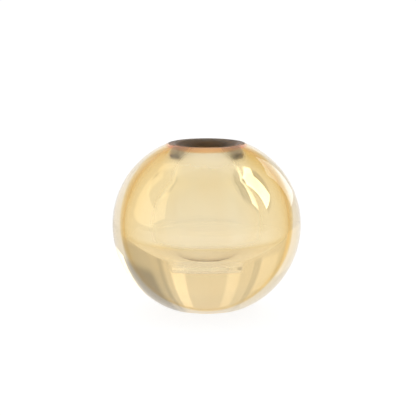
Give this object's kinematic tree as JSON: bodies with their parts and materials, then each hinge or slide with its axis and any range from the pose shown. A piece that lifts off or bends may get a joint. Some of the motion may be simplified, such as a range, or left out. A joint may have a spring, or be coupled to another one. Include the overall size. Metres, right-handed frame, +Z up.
{
  "type": "bud vase",
  "caption": "Small round bud vase in thick cased glass: a clear body around an amber bubble, with a clear floor, a rounded amber lip and a flat ground base",
  "frame": {"origin": "centre of the flat ground base, on the surface that the vase stands on", "axes": "+Z up along the axis that the vase is round about; X and Y lie in the base and are interchangeable"},
  "size_m": [0.09, 0.09, 0.0788],
  "materials": {
    "clear_glass": "polished clear glass",
    "amber_glass": "smooth pale amber glass",
    "deep_amber_glass": "fire-polished deep amber glass"
  },
  "bodies": {
    "root": {"clear_casing": "clear_glass", "amber_skin": "amber_glass", "clear_floor": "clear_glass", "amber_lip": "deep_amber_glass"}
  },
  "joints": []
}
